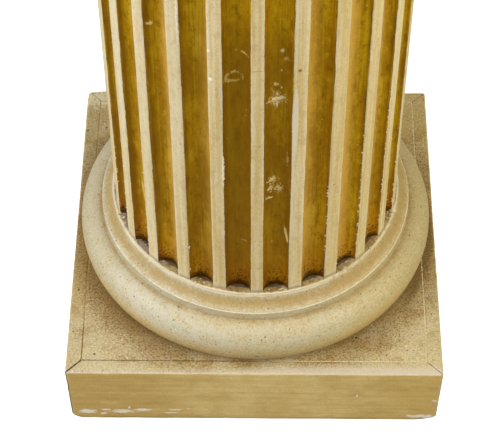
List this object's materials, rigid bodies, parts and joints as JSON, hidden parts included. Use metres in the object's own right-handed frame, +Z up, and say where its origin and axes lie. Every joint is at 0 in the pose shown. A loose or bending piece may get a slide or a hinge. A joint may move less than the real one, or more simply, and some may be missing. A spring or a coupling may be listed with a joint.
{
  "type": "fluted column",
  "caption": "Free-standing fluted column in painted wood, on a square box plinth with a half-round base moulding, under a plain turned capital and a square slab.",
  "frame": {"origin": "centre of the plinth's underside, on the column's axis", "axes": "+Z up along the column's axis, -Y to the front, +X to the right as seen from the front"},
  "size_m": [0.4, 0.4, 2.4512],
  "materials": {
    "ochre_paint": "aged ochre and cream paint on wood, worn at the edges, satin",
    "cream_paint": "aged cream paint on turned wood, speckled, satin",
    "gilt_paint": "glossy bronze-gold paint in the flutes, cream paint on the strips between them"
  },
  "bodies": {
    "root": {"plinth_board_front": "ochre_paint", "plinth_board_back": "ochre_paint", "plinth_board_left": "ochre_paint", "plinth_board_right": "ochre_paint", "plinth_top_panel": "ochre_paint", "base_moulding": "cream_paint", "fluted_shaft": "gilt_paint", "capital_moulding": "cream_paint", "abacus": "cream_paint"}
  },
  "joints": []
}
